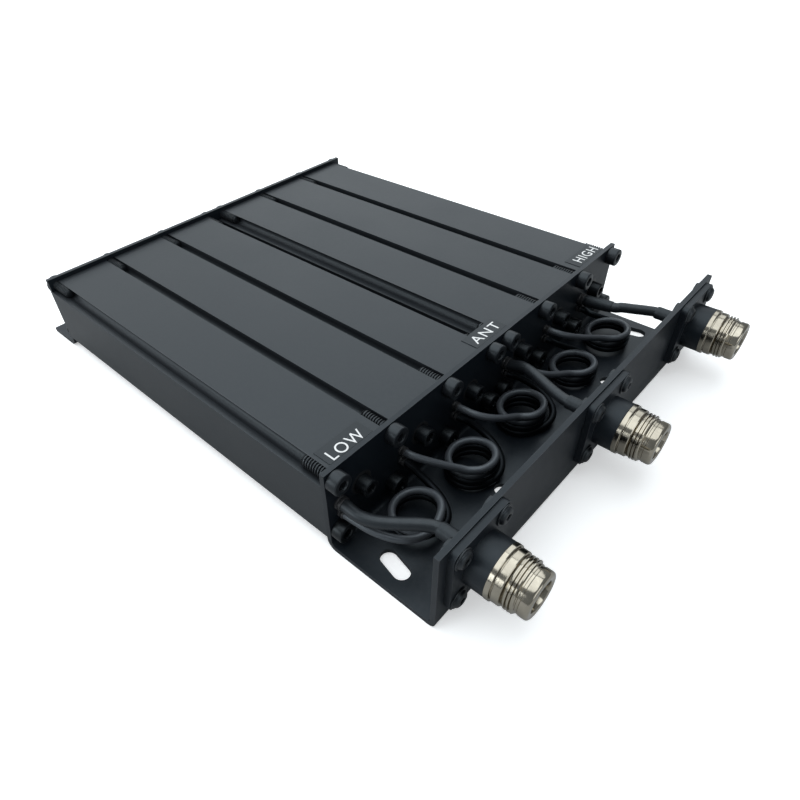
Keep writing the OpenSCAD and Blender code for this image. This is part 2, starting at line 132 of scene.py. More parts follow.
# %% [markdown]
# ### Skins and pieces
# Neighbouring rings are joined by quads, and only edges that turn sharply are left unsmoothed. Each
# finished piece is told which body it rides, which CAD nodes it stands for and which finish it takes.

# %% Skins and pieces
SKIN_WELD = 2e-6
NO_LENGTH = 1e-7


def skin(rings, tube=False):
    """A closed mesh over rings. A tube's last ring joins its first, and other ends are capped."""
    mesh = bmesh.new()
    rows = [[mesh.verts.new(p * MM) for p in ring] for ring in rings]
    sides = len(rings[0])
    pairs = list(zip(rows, rows[1:]))
    if tube:
        pairs.append((rows[-1], rows[0]))
    for low, high in pairs:
        for j in range(sides):
            k = (j + 1) % sides
            mesh.faces.new((low[j], low[k], high[k], high[j]))
    if not tube:
        for row, flip in ((rows[0], True), (rows[-1], False)):
            pole = mesh.verts.new(sum((v.co for v in row), Vector()) / sides)
            for j in range(sides):
                k = (j + 1) % sides
                mesh.faces.new((pole, row[k], row[j]) if flip else (pole, row[j], row[k]))
    bmesh.ops.remove_doubles(mesh, verts=mesh.verts, dist=SKIN_WELD)
    bmesh.ops.dissolve_degenerate(mesh, edges=mesh.edges, dist=NO_LENGTH)
    return mesh


SHARP_ANGLE = math.radians(35)


def smooth_faces(mesh):
    """Shades a bmesh smooth, but for edges that turn more than the sharp angle."""
    for face in mesh.faces:
        face.smooth = True
    for edge in mesh.edges:
        edge.smooth = edge.is_manifold and edge.calc_face_angle(0) < SHARP_ANGLE


def to_mesh(mesh, name, place=Matrix.Identity(4)):
    """Turns a bmesh into mesh data, with its place in its points."""
    smooth_faces(mesh)
    data = bpy.data.meshes.new(name)
    mesh.transform(place)
    mesh.to_mesh(data)
    mesh.free()
    return data


def bring_in(thing):
    bpy.context.scene.collection.objects.link(thing)


def put(name, data, material, body, replaced):
    """Adds a finished piece, with the body it rides and the CAD nodes it stands for."""
    piece = bpy.data.objects.new(name, data)
    bring_in(piece)
    if material is not None:
        data.materials.clear()
        data.materials.append(material)
    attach(piece, body)
    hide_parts(*replaced)
    print(f"{name}: {len(data.polygons)} faces on {body}")
    return piece


def facing_front(x, y, z):
    """Puts a turned part at a point in millimetres, with its own Z out of the front plate."""
    return Matrix.Translation(spot(x, y, z)) @ Matrix.Rotation(math.pi / 2, 4, "X")


print("10 mm in front of the plate is at y", round(spot(0, -10, 0).y, 5))

# %% [markdown]
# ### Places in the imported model
# A CAD node of fasteners is one mesh of loose triangles. Joining the points that meet and walking
# along the edges finds each separate solid, and so the place of each screw.

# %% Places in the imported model
CAD_WELD = 1e-6


def merged(node):
    """A copy of a CAD node with its loose triangles joined."""
    mesh = bmesh.new()
    mesh.from_mesh(nodes[node].data)
    bmesh.ops.remove_doubles(mesh, verts=mesh.verts, dist=CAD_WELD)
    return mesh


def solids_of(node):
    """The lowest and highest corners of each separate solid in a CAD node."""
    mesh = merged(node)
    waiting, found = set(mesh.verts), []
    while waiting:
        stack, group = [waiting.pop()], []
        while stack:
            vert = stack.pop()
            group.append(vert.co.copy())
            for edge in vert.link_edges:
                other = edge.other_vert(vert)
                if other in waiting:
                    waiting.discard(other)
                    stack.append(other)
        low = Vector(min(p[i] for p in group) for i in range(3))
        high = Vector(max(p[i] for p in group) for i in range(3))
        found.append((low, high))
    mesh.free()
    return sorted(found, key=lambda box: tuple(round(v, 5) for v in box[0]))


print("front top screws:", len(solids_of("front_top_screws")))

# %% [markdown]
# ## Shader helpers
# Every finish here is a Principled shader with its colour, gloss and bump varied by noise. What
# several finishes share (powder grain, lines of a drawn surface, worn edges, dust) is made once as
# a node group, and each material places it with its own values.

# %% Shader helpers
def add_node(tree, kind, inputs=None, **settings):
    """Adds a node. An input is a value, or the socket that feeds it."""
    made = tree.nodes.new(kind)
    for name, value in settings.items():
        setattr(made, name, value)
    for name, value in (inputs or {}).items():
        if isinstance(value, bpy.types.NodeSocket):
            tree.links.new(value, made.inputs[name])
        else:
            made.inputs[name].default_value = value
    return made


def start_group(name, inputs, outputs):
    """An empty shader group with named number inputs and outputs."""
    tree = bpy.data.node_groups.new(name, "ShaderNodeTree")
    for label, value in inputs.items():
        socket = tree.interface.new_socket(label, in_out="INPUT", socket_type="NodeSocketFloat")
        socket.default_value = value
    for label in outputs:
        tree.interface.new_socket(label, in_out="OUTPUT", socket_type="NodeSocketFloat")
    return tree, tree.nodes.new("NodeGroupInput"), tree.nodes.new("NodeGroupOutput")


def spread(tree, value, low, high, to_low=0.0, to_high=1.0):
    """Maps a value's range to another, clamped."""
    return add_node(tree, "ShaderNodeMapRange", {
        "Value": value, "From Min": low, "From Max": high,
        "To Min": to_low, "To Max": to_high}).outputs["Result"]


def times(tree, a, b):
    return add_node(tree, "ShaderNodeMath", {0: a, 1: b}, operation="MULTIPLY").outputs[0]


def object_place(tree):
    """Where a point of the surface is on its own object."""
    return add_node(tree, "ShaderNodeTexCoord").outputs["Object"]


def noise(tree, place, scale, detail, roughness=0.5):
    return add_node(tree, "ShaderNodeTexNoise", {
        "Vector": place, "Scale": scale, "Detail": detail, "Roughness": roughness}).outputs["Fac"]


# %% [markdown]
# ### Powder grain
# Black powder coat and anodising look smooth from a step away and finely grained from close by.
# Fine noise gives the height, and slow noise gives clouds of slightly duller and shinier finish.

# %% Powder grain group
def powder_grain_group():
    tree, given, out = start_group("powder grain", {"Grains": 2600, "Clouds": 30}, ["Height", "Cloud"])
    place = object_place(tree)
    fine = noise(tree, place, given.outputs["Grains"], 2.0)
    slow = noise(tree, place, given.outputs["Clouds"], 4.0, 0.6)
    tree.links.new(fine, out.inputs["Height"])
    tree.links.new(spread(tree, slow, 0.3, 0.7), out.inputs["Cloud"])
    return tree


powder_grain = powder_grain_group()
print("made group", powder_grain.name)

# %% [markdown]
# ### Drawn lines
# Extruded blocks carry faint lines along their length from the die, and turned parts carry rings
# round their axis. Both are noise that is stretched far along one direction, so one group serves
# them: lines along Y when the noise is fine across X and Z, rings round Y when it is fine along Y.

# %% Drawn lines group
def drawn_lines_group():
    tree, given, out = start_group("drawn lines", {"Across": 1500, "Along": 6}, ["Height"])
    size = add_node(tree, "ShaderNodeCombineXYZ", {
        "X": given.outputs["Across"], "Y": given.outputs["Along"], "Z": given.outputs["Across"]})
    scaled = add_node(tree, "ShaderNodeMapping", {
        "Vector": object_place(tree), "Scale": size.outputs["Vector"]})
    lines = noise(tree, scaled.outputs["Vector"], 1.0, 2.0)
    tree.links.new(lines, out.inputs["Height"])
    return tree


drawn_lines = drawn_lines_group()
print("made group", drawn_lines.name)

# %% [markdown]
# ### Worn and highlit edges, and dust
# Handling rubs a finish thin along its edges, and the edge mark lightens them, partly for that and
# partly as a painted highlight. A Bevel node bends the shading normal near an edge, so the angle
# between it and the true normal marks the edges, and noise breaks the mark up. Dust lies on what
# faces up.

# %% Worn and highlit edge and dust groups
# The edge mask lightens edges: partly rubbed thin, partly a painted highlight.
def worn_lit_edge_group():
    tree, given, out = start_group("worn and lit edge", {"Width": 0.0004, "Patches": 90}, ["Mask"])
    bent = add_node(tree, "ShaderNodeBevel", {"Radius": given.outputs["Width"]}, samples=4)
    true_normal = add_node(tree, "ShaderNodeNewGeometry").outputs["Normal"]
    likeness = add_node(tree, "ShaderNodeVectorMath", {
        0: bent.outputs["Normal"], 1: true_normal}, operation="DOT_PRODUCT")
    edge = spread(tree, likeness.outputs["Value"], 0.995, 0.8)
    patch = noise(tree, object_place(tree), given.outputs["Patches"], 5.0)
    broken = spread(tree, patch, 0.42, 0.62, 0.15, 1.0)
    tree.links.new(times(tree, edge, broken), out.inputs["Mask"])
    return tree


def dust_group():
    tree, given, out = start_group("dust", {"Specks": 700, "Drifts": 18}, ["Mask"])
    place = object_place(tree)
    normal = add_node(tree, "ShaderNodeNewGeometry").outputs["Normal"]
    facing = add_node(tree, "ShaderNodeSeparateXYZ", {"Vector": normal}).outputs["Z"]
    specks = noise(tree, place, given.outputs["Specks"], 3.0)
    drifts = noise(tree, place, given.outputs["Drifts"], 3.0)
    lying = times(tree, spread(tree, facing, 0.2, 1.0), spread(tree, specks, 0.4, 0.75))
    patchy = times(tree, lying, spread(tree, drifts, 0.35, 0.7, 0.3, 1.0))
    tree.links.new(patchy, out.inputs["Mask"])
    return tree


worn_lit_edge = worn_lit_edge_group()
dust = dust_group()
print("made groups", worn_lit_edge.name, "and", dust.name)

# %% [markdown]
# ### Mixing a finish
# One function builds each material from the groups. Its own values say how black, glossy, grainy,
# lined, worn and dusty the finish is. Values that are the same all over the surface are set on the
# shader's own sockets.

# %% Mixing a finish
BUMP_REACH = 0.00005
DUST_GREY = (0.32, 0.31, 0.29)
# Near black for painted shade, and how much of it is laid on.
PAINTED_SHADE_BLACK = (0.001, 0.0012, 0.0015)
PAINTED_SHADE_SHARE = 0.9
PAINTED_SHADE_METAL = 0.85


def use_group(tree, group, values):
    return add_node(tree, "ShaderNodeGroup", values, node_tree=group)


def blend_colour(tree, mask, low, high):
    """A colour between two. Each is a colour or the socket that gives one."""
    low, high = [c if isinstance(c, bpy.types.NodeSocket) else (*c, 1) for c in (low, high)]
    return add_node(tree, "ShaderNodeMix", {0: mask, 6: low, 7: high}, data_type="RGBA").outputs[2]


def bumped(tree, height, depth, normal=None):
    inputs = {"Height": height, "Strength": depth, "Distance": BUMP_REACH}
    if normal is not None:
        inputs["Normal"] = normal
    return add_node(tree, "ShaderNodeBump", inputs).outputs["Normal"]


def finish(name, colour, shade, rough, rough_change=0.08, metal=0.0, shine=0.5, gleam=(1, 1, 1),
           grains=2600, clouds=30, grain_depth=0.15, lines=None, line_depth=0.0, wear_and_highlight=None,
           wear_and_highlight_width=0.00015, wear_and_highlight_share=0.5, dust_share=0.0, painted_shade_mark=None, painted_shade_heights=None):
    """A material for one kind of surface.

    Colour and shade are its base and the tone of its clouds. The edge colour lightens edges, partly
    as rubbing and partly as a painted highlight, and gleam is the tint of reflections. The mark names
    an attribute in the mesh and the painted shade where it is 1. The shade heights span the fade of
    painted shade to near black, for screws that stand in the shade.
    """
    material = bpy.data.materials.new(name)
    material.use_nodes = True
    tree = material.node_tree
    shader = tree.nodes["Principled BSDF"]
    shader.inputs["Metallic"].default_value = metal
    shader.inputs["Specular IOR Level"].default_value = shine
    shader.inputs["Specular Tint"].default_value = (*gleam, 1)
    grain = use_group(tree, powder_grain, {"Grains": grains, "Clouds": clouds})
    cloud = grain.outputs["Cloud"]
    tone = blend_colour(tree, cloud, colour, shade)
    gloss = spread(tree, cloud, 0, 1, rough - rough_change / 2, rough + rough_change / 2)
    # Lighter edges: partly rubbed thin, partly a painted highlight.
    if wear_and_highlight is not None:
        edges = use_group(tree, worn_lit_edge, {"Width": wear_and_highlight_width}).outputs["Mask"]
        tone = blend_colour(tree, times(tree, edges, wear_and_highlight_share), tone, wear_and_highlight)
    if dust_share:
        lying = use_group(tree, dust, {}).outputs["Mask"]
        tone = blend_colour(tree, times(tree, lying, dust_share), tone, DUST_GREY)
    # Painted shade: low down the colour fades to near black.
    if painted_shade_heights is not None:
        height = add_node(tree, "ShaderNodeSeparateXYZ", {"Vector": object_place(tree)}).outputs["Z"]
        share = spread(tree, height, painted_shade_heights[0], painted_shade_heights[1], PAINTED_SHADE_SHARE, 0.0)
        tone = blend_colour(tree, share, tone, PAINTED_SHADE_BLACK)
    # Painted shade where the mesh is marked, made part metal so that it reflects less.
    if painted_shade_mark is not None:
        painted_shade_mask = add_node(tree, "ShaderNodeAttribute", attribute_name=painted_shade_mark[0]).outputs["Fac"]
        tone = blend_colour(tree, painted_shade_mask, tone, painted_shade_mark[1])
        if metal < 1:
            tree.links.new(times(tree, painted_shade_mask, PAINTED_SHADE_METAL), shader.inputs["Metallic"])
    normal = bumped(tree, grain.outputs["Height"], grain_depth)
    if lines is not None:
        drawn = use_group(tree, drawn_lines, {"Across": lines[0], "Along": lines[1]})
        normal = bumped(tree, drawn.outputs["Height"], line_depth, normal)
    tree.links.new(tone, shader.inputs["Base Color"])
    tree.links.new(gloss, shader.inputs["Roughness"])
    tree.links.new(normal, shader.inputs["Normal"])
    return material


# %% [markdown]
# ### The finishes
# The brackets are satin black, the extruded blocks a slightly lighter blue-grey black with faint
# drawn lines. Screws are black oxide steel. Sheet, blocks, bushes and screws are painted lighter on
# their edges, partly as rubbing and partly as a painted highlight. The connectors are bright nickel
# with turning marks and painted shade in their bores, the cables smooth black plastic. Black
# reflects a cool tint, as in the photograph. What lies in the front plate's shade, such as the lower
# turns of the coils and the low screws, gets painted shade, because the softboxes shade it too
# little. That painted shade is part metal, because dark metal reflects less than dark plastic. The
# tuning screws take a darker copy of the screw black, which is painted shade too.

# %% The finishes
COLD = (0.84, 0.94, 1.0)
# The edge colours below lighten edges: partly rubbed thin, partly a painted highlight.
bracket_black = finish("bracket black", (0.004, 0.006, 0.0095), (0.0062, 0.0088, 0.0125), 0.42,
                       shine=0.4, gleam=COLD, wear_and_highlight=(0.11, 0.115, 0.12), wear_and_highlight_width=0.0003,
                       dust_share=0.02)
block_grey = finish("block grey", (0.011, 0.0128, 0.0155), (0.014, 0.016, 0.019), 0.46,
                    rough_change=0.05, gleam=COLD, grain_depth=0.1, lines=(900, 5), line_depth=0.12,
                    wear_and_highlight=(0.1, 0.1, 0.11), wear_and_highlight_width=0.0003, wear_and_highlight_share=0.25, dust_share=0.015)
# Screws low down get painted shade from their height.
screw_black = finish("screw black", (0.008, 0.0095, 0.012), (0.013, 0.0145, 0.017), 0.36,
                     shine=0.45, gleam=COLD, grains=3500, clouds=120, wear_and_highlight=(0.2, 0.2, 0.2),
                     painted_shade_heights=(0.01, 0.026))
# A darker copy of the screw black: painted shade for the screws at the front plate.
tuning_shaded_black = finish("tuning shaded black", (0.003, 0.0037, 0.005), (0.005, 0.006, 0.0075), 0.36,
                      shine=0.25, gleam=COLD, grains=3500, clouds=140, wear_and_highlight=(0.2, 0.2, 0.2))
# The bore mark takes painted shade inside the mouth.
bright_nickel = finish("bright nickel", (0.47, 0.43, 0.355), (0.33, 0.3, 0.245), 0.15,
                       rough_change=0.1, metal=1.0, grains=900, clouds=160, grain_depth=0.04,
                       lines=(20, 3500), line_depth=0.12, painted_shade_mark=("bore", (0.06, 0.05, 0.035)))
# The under mark on the jumpers takes painted shade below the first turn.
jumper_black = finish("jumper jacket", (0.045, 0.05, 0.058), (0.053, 0.058, 0.066), 0.42,
                      shine=0.8, gleam=COLD, grains=1500, clouds=120, grain_depth=0.06,
                      dust_share=0.05, painted_shade_mark=("under", (0.006, 0.0072, 0.009)))
feed_black = finish("feed jacket", (0.011, 0.0133, 0.0165), (0.014, 0.0163, 0.0195), 0.42,
                    gleam=COLD, grains=1500, clouds=90, grain_depth=0.06, dust_share=0.05)
sleeve_black = finish("shrunk sleeve", (0.007, 0.0088, 0.0115), (0.01, 0.012, 0.015), 0.48,
                      gleam=COLD, grains=900, clouds=200, grain_depth=0.25)
ferrule_dark = finish("ferrule", (0.03, 0.03, 0.032), (0.055, 0.055, 0.057), 0.34, metal=0.3,
                      clouds=300)
bush_dark = finish("bush", (0.01, 0.0105, 0.0115), (0.016, 0.0165, 0.0175), 0.4, clouds=200,
                   wear_and_highlight=(0.12, 0.12, 0.12), wear_and_highlight_share=0.4)
copper = finish("bare copper", (0.72, 0.33, 0.19), (0.52, 0.22, 0.12), 0.3, rough_change=0.16,
                metal=1.0, clouds=60, grain_depth=0.05, lines=(1500, 8), line_depth=0.1)
loop_wire = finish("silvered wire", (0.8, 0.76, 0.7), (0.62, 0.56, 0.48), 0.26, metal=1.0,
                   clouds=300, grain_depth=0.05)
white_bead = finish("white bead", (0.82, 0.81, 0.77), (0.74, 0.73, 0.69), 0.45, grains=1500,
                    clouds=300, grain_depth=0.06)
gold = finish("gold contact", (0.9, 0.62, 0.24), (0.8, 0.52, 0.18), 0.22, metal=1.0, clouds=400,
              grain_depth=0.04)
label_film = finish("label film", (0.0075, 0.009, 0.011), (0.0105, 0.012, 0.014), 0.5, gleam=COLD,
                    clouds=80, grain_depth=0.04)
white_ink = finish("white lettering", (0.86, 0.86, 0.85), (0.8, 0.8, 0.8), 0.5, grains=2500, clouds=500,
                   grain_depth=0.05)
print("finishes:", len(bpy.data.materials))

# %% [markdown]
# ## The cables
# Each cable is a fixed length of coaxial cable that leaves one hole and ends in another, so it is a
# held run and not a free cord. The jumpers lie in coils of two or three turns in the tray, because
# their electrical length matters and the spare length has to go somewhere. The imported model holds
# the same routes as faceted tubes. Here a Geometry Nodes tree runs a smooth round profile along the
# points: change a point or a radius, and the cable follows.

# %% Points of the jumpers and feeds, in millimetres
BLOCK_X = 43.5
CAVITY_PITCH = 28
PORT_ASIDE = -9.5
CONNECTOR_XS = {"low": -70, "ant": 0, "high": 70}
CONNECTOR_Z = 19.6
BARREL_END_Y = -31.2
STUB_Y = -2.5
PORT_TOP_Z = 18.5
PORT_LOW_Z = 14
SHARED_PORT_ASIDE = 3.8
SHARED_PORT_Z = 16.2
JUMPER_R = 1.28
FEED_R = 2
FEED_STRAIGHT = 1.2
COIL_R = 7.7
COIL_DROP = 2.7
COIL_STEP = 30
COIL_LEAN_X = 0.04
COIL_LEAN_Y = -0.09
COIL_ASIDES = (4.3, 4.7, 7.9, 13.9, 14.5)
COIL_YS = (-14.3, -14.7, -13.3, -14.6, -14.4)
COIL_ZS = (10.2, 12, 11.4, 9.4, 9.8)
COIL_STARTS = (-60, -150, -150, -150, -150)
COIL_ENDS = (600, 960, 960, 640, 640)
LEAD_IN_PULLS = ((21, 12), (4, 4), (13.5, 3.4), (15.2, 5.2), (10, 6))
LEAD_OUT_PULLS = (16, 16, 20, 20, 20)
LEAD_OUT_BENDS = ((4, -8, -9), (10, -8, -9), (10, -8, -6), (10, -4, -9), (10, -4, -9))


def cavity_x(k):
    return (-BLOCK_X if k <= 3 else BLOCK_X) + ((k - 1) % 3 - 1) * CAVITY_PITCH


def port_x(k):
    return cavity_x(k) + PORT_ASIDE


def jumper_start(k):
    """Where a jumper leaves. The first and the fourth port also carry a feed, which lies above."""
    if k == 1:
        return port_x(1), PORT_LOW_Z
    if k == 4:
        return port_x(4) + SHARED_PORT_ASIDE, SHARED_PORT_Z
    return port_x(k), PORT_TOP_Z


def bezier(a, b, c, d, t):
    return (1 - t) ** 3 * a + 3 * (1 - t) ** 2 * t * b + 3 * (1 - t) * t * t * c + t ** 3 * d


def coil_point(k, degrees):
    """A point of a coil, which sinks as it turns and leans a little to the front."""
    a = math.radians(degrees)
    x, y = COIL_R * math.cos(a), COIL_R * math.sin(a)
    centre_x = (port_x(k) + port_x(k + 1)) / 2 + COIL_ASIDES[k - 1]
    sunk = COIL_DROP * (degrees - COIL_STARTS[k - 1]) / 360
    height = COIL_ZS[k - 1] - sunk + COIL_LEAN_X * x + COIL_LEAN_Y * y
    return Vector((centre_x + x, COIL_YS[k - 1] + y, height))


def coil_heading(degrees):
    a = math.radians(degrees)
    return Vector((-math.sin(a), math.cos(a), 0))


def jumper_points(k):
    """Out of one port, round and down the coil, and into the next port."""
    start, end = jumper_start(k), (port_x(k + 1), PORT_LOW_Z)
    out = Vector((start[0], STUB_Y, start[1]))
    back = Vector((end[0], STUB_Y, end[1]))
    turn_from, turn_to = COIL_STARTS[k - 1], COIL_ENDS[k - 1]
    steps = math.ceil((turn_to - turn_from) / COIL_STEP)
    first, last = coil_point(k, turn_from), coil_point(k, turn_to)
    pull_out, pull_in = LEAD_IN_PULLS[k - 1]
    bend_from = out - Vector((0, pull_out, 0))
    bend_to = first - pull_in * coil_heading(turn_from)
    leave_by = last + LEAD_OUT_PULLS[k - 1] * coil_heading(turn_to)
    come_back = back + Vector(LEAD_OUT_BENDS[k - 1])
    points = [Vector((start[0], SHEET, start[1]))]
    points += [bezier(out, bend_from, bend_to, first, i / 6) for i in range(6)]
    points += [coil_point(k, turn_from + (turn_to - turn_from) * i / steps) for i in range(steps + 1)]
    points += [bezier(last, leave_by, come_back, back, i / 8) for i in range(1, 9)]
    return points + [Vector((end[0], SHEET, end[1]))]


def feed_points(port, connector_x, shares):
    """From a port to a connector, through points given as shares of the way on each axis."""
    start = Vector((port, STUB_Y, PORT_TOP_Z))
    end = Vector((connector_x, BARREL_END_Y, CONNECTOR_Z))
    straight = end + Vector((0, FEED_STRAIGHT, 0))
    between = [Vector(start[i] + s[i] * (end[i] - start[i]) for i in range(3)) for s in shares]
    return [Vector((port, SHEET, PORT_TOP_Z)), start, *between, straight, end]


LOW_SHARES = (
    (0, 0.18, -0.25), (0.15, 0.36, -0.1), (0.42, 0.54, 0.45), (0.73, 0.72, 1.1), (0.95, 0.86, 1.2))
ANT_SHARES = (
    (-0.03, 0.18, 1.2), (0.18, 0.36, 1.3), (0.47, 0.54, 1.05), (0.74, 0.7, 0.9), (0.95, 0.86, 0.95))
HIGH_SHARES = (
    (0.15, 0.39, 0.63), (0.34, 0.5, 0.96), (0.54, 0.62, 1), (0.75, 0.75, 1.08), (0.95, 0.88, 1.1))
cables = {f"jumper_cable_{k}": (jumper_points(k), JUMPER_R, jumper_black, "jumper_jacket")
          for k in range(1, 6)}
for side, k, shares in (("low", 1, LOW_SHARES), ("ant", 4, ANT_SHARES), ("high", 6, HIGH_SHARES)):
    points = feed_points(port_x(k), CONNECTOR_XS[side], shares)
    cables[f"feed_cable_{side}"] = (points, FEED_R, feed_black, "feed_jacket")
for name, (points, *_) in cables.items():
    length = sum((b - a).length for a, b in zip(points, points[1:]))
    print(name, "length", round(length, 1), "mm")


# %% Geometry Nodes helpers
def start_tree(name, inputs):
    """An empty Geometry Nodes tree with a mesh in, a mesh out and named inputs."""
    tree = bpy.data.node_groups.new(name, "GeometryNodeTree")
    tree.interface.new_socket("Geometry", in_out="INPUT", socket_type="NodeSocketGeometry")
    for label, kind, value in inputs:
        socket = tree.interface.new_socket(label, in_out="INPUT", socket_type=kind)
        if value is not None:
            socket.default_value = value
    tree.interface.new_socket("Geometry", in_out="OUTPUT", socket_type="NodeSocketGeometry")
    return tree, tree.nodes.new("NodeGroupInput"), tree.nodes.new("NodeGroupOutput")


def grow(name, points, edges, tree, values):
    """Runs a tree on points and edges, and keeps the result as a plain mesh."""
    start = bpy.data.meshes.new(name + "_start")
    start.from_pydata(points, edges, [])
    holder = bpy.data.objects.new(name + "_start", start)
    bring_in(holder)
    modifier = holder.modifiers.new(tree.name, "NODES")
    modifier.node_group = tree
    for item in tree.interface.items_tree:
        if item.item_type == "SOCKET" and item.in_out == "INPUT" and item.name in values:
            modifier[item.identifier] = values[item.name]
    evaluated = holder.evaluated_get(bpy.context.evaluated_depsgraph_get())
    data = bpy.data.meshes.new_from_object(evaluated)
    data.name = name
    holder.modifiers.remove(modifier)
    bpy.data.objects.remove(holder)
    return data


# %% A tree that runs a round profile along points
def cable_tree():
    tree, given, out = start_tree("cable along points", [
        ("Radius", "NodeSocketFloat", 0.0012), ("Sides", "NodeSocketInt", 20),
        ("Steps", "NodeSocketInt", 6), ("Open share", "NodeSocketFloat", 1.0),
        ("Material", "NodeSocketMaterial", None)])
    path = add_node(tree, "GeometryNodeMeshToCurve", {"Mesh": given.outputs["Geometry"]})
    eased = add_node(tree, "GeometryNodeCurveSplineType", {"Curve": path.outputs["Curve"]},
                     spline_type="CATMULL_ROM")
    fine = add_node(tree, "GeometryNodeSetSplineResolution", {
        "Geometry": eased.outputs["Curve"], "Resolution": given.outputs["Steps"]})
    # The under mark runs from the end of the first turn on; the finish paints shade there.
    along = add_node(tree, "GeometryNodeSplineParameter").outputs["Factor"]
    later = add_node(tree, "ShaderNodeMath", {
        0: along, 1: given.outputs["Open share"]}, operation="SUBTRACT")
    under = spread(tree, later.outputs["Value"], 0.0, 0.05)
    marked = add_node(tree, "GeometryNodeStoreNamedAttribute", {
        "Geometry": fine.outputs["Geometry"], "Name": "under", "Value": under})
    circle = add_node(tree, "GeometryNodeCurvePrimitiveCircle", {
        "Resolution": given.outputs["Sides"], "Radius": given.outputs["Radius"]})
    tube = add_node(tree, "GeometryNodeCurveToMesh", {
        "Curve": marked.outputs["Geometry"], "Profile Curve": circle.outputs["Curve"],
        "Fill Caps": True})
    shaded = add_node(tree, "GeometryNodeSetShadeSmooth", {"Geometry": tube.outputs["Mesh"]})
    real = add_node(tree, "GeometryNodeRealizeInstances", {"Geometry": shaded.outputs["Geometry"]})
    done = add_node(tree, "GeometryNodeSetMaterial", {
        "Geometry": real.outputs["Geometry"], "Material": given.outputs["Material"]})
    tree.links.new(done.outputs["Geometry"], out.inputs["Geometry"])
    return tree


cable_along = cable_tree()
print("made tree", cable_along.name)

# %% [markdown]
# ### Growing the cables
# A jumper is marked from the end of its first turn on, because the rest lies in that turn's shade.
# Its finish reads the mark.

# %% Growing the cables
FIRST_TURN_POINTS = 18
CABLE_SIDES = 20
JUMPER_STEPS = 4
FEED_STEPS = 10
for name, (points, radius, jacket, slot) in cables.items():
    path = [spot(*p) for p in points]
    links = [(i, i + 1) for i in range(len(path) - 1)]
    steps, open_share = FEED_STEPS, 1.0
    if name.startswith("jumper"):
        lengths = [(b - a).length for a, b in zip(path, path[1:])]
        steps, open_share = JUMPER_STEPS, sum(lengths[:FIRST_TURN_POINTS]) / sum(lengths)
    data = grow(name + "_jacket", path, links, cable_along, {
        "Radius": radius * MM, "Sides": CABLE_SIDES, "Steps": steps, "Open share": open_share,
        "Material": jacket})
    put(name + "_jacket", data, None, "unit", [name])

# %% [markdown]
# ## Repeated hardware
# There are thirty-two cap screws, twelve flange screws with nuts and thirteen ferrules. Each shape
# is modelled once, pointing along its own Z. A Geometry Nodes tree sets a copy on each place, turns
# it outwards, and gives it a random twist, because no two screws stop at the same angle. The places
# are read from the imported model.

# %% A tree that sets hardware on points
def hardware_tree():
    tree, given, out = start_tree("hardware on points", [
        ("Shape", "NodeSocketObject", None), ("Lean", "NodeSocketFloat", 0.0),
        ("Twist", "NodeSocketFloat", 1.0), ("Seed", "NodeSocketInt", 0),
        ("Material", "NodeSocketMaterial", None)])
    shape = add_node(tree, "GeometryNodeObjectInfo", {"Object": given.outputs["Shape"]})
    lean = add_node(tree, "ShaderNodeCombineXYZ", {"X": given.outputs["Lean"]})
    outwards = add_node(tree, "FunctionNodeEulerToRotation", {"Euler": lean.outputs["Vector"]})
    chance = add_node(tree, "FunctionNodeRandomValue", {
        "Seed": given.outputs["Seed"], 3: 2 * math.pi}, data_type="FLOAT")
    turn = times(tree, chance.outputs[1], given.outputs["Twist"])
    twist = add_node(tree, "FunctionNodeAxisAngleToRotation", {"Axis": (0, 0, 1), "Angle": turn})
    both = add_node(tree, "FunctionNodeRotateRotation", {
        "Rotation": outwards.outputs["Rotation"], "Rotate By": twist.outputs["Rotation"]},
        rotation_space="LOCAL")
    places = add_node(tree, "GeometryNodeMeshToPoints", {"Mesh": given.outputs["Geometry"]})
    copies = add_node(tree, "GeometryNodeInstanceOnPoints", {
        "Points": places.outputs["Points"], "Instance": shape.outputs["Geometry"],
        "Rotation": both.outputs["Rotation"]})
    real = add_node(tree, "GeometryNodeRealizeInstances", {"Geometry": copies.outputs["Instances"]})
    done = add_node(tree, "GeometryNodeSetMaterial", {
        "Geometry": real.outputs["Geometry"], "Material": given.outputs["Material"]})
    tree.links.new(done.outputs["Geometry"], out.inputs["Geometry"])
    return tree


hardware_on = hardware_tree()
print("made tree", hardware_on.name)

# %% Setting hardware on the CAD's solids
FRONTWARDS = math.pi / 2
REARWARDS = -math.pi / 2


def seats(boxes, face):
    """The middle of each box, moved to the face at that y."""
    return [Vector(((low.x + high.x) / 2, face, (low.z + high.z) / 2)) for low, high in boxes]


def copies(name, shape, places, lean, material, seed):
    """One copy of a shape on each place, as one mesh."""
    return grow(name, places, [], hardware_on, {
        "Shape": shape, "Lean": lean, "Twist": 1.0, "Seed": seed, "Material": material})


def place_hardware(node, shape, face, lean, seed):
    """Replaces a CAD node of screws or nuts by a detailed copy on each of its solids."""
    name = node + "_made"
    data = copies(name, shape, seats(solids_of(node), face), lean, screw_black, seed)
    put(name, data, None, "unit", [node])


shapes = []


def template(name, mesh):
    """A shape for the tree to copy. It is removed after the last hardware cell."""
    made = bpy.data.objects.new(name, to_mesh(mesh, name))
    bring_in(made)
    shapes.append(made)
    return made


# %% [markdown]
# ### Cap screws
# A socket-head cap screw has a head 7 mm across and 4 mm high with a small chamfer that catches the
# light, a 3 mm hexagon socket with a countersunk mouth, and a coarse thread that cuts into the open
# channels behind the plates. The rear plate has the same screws with low button heads.

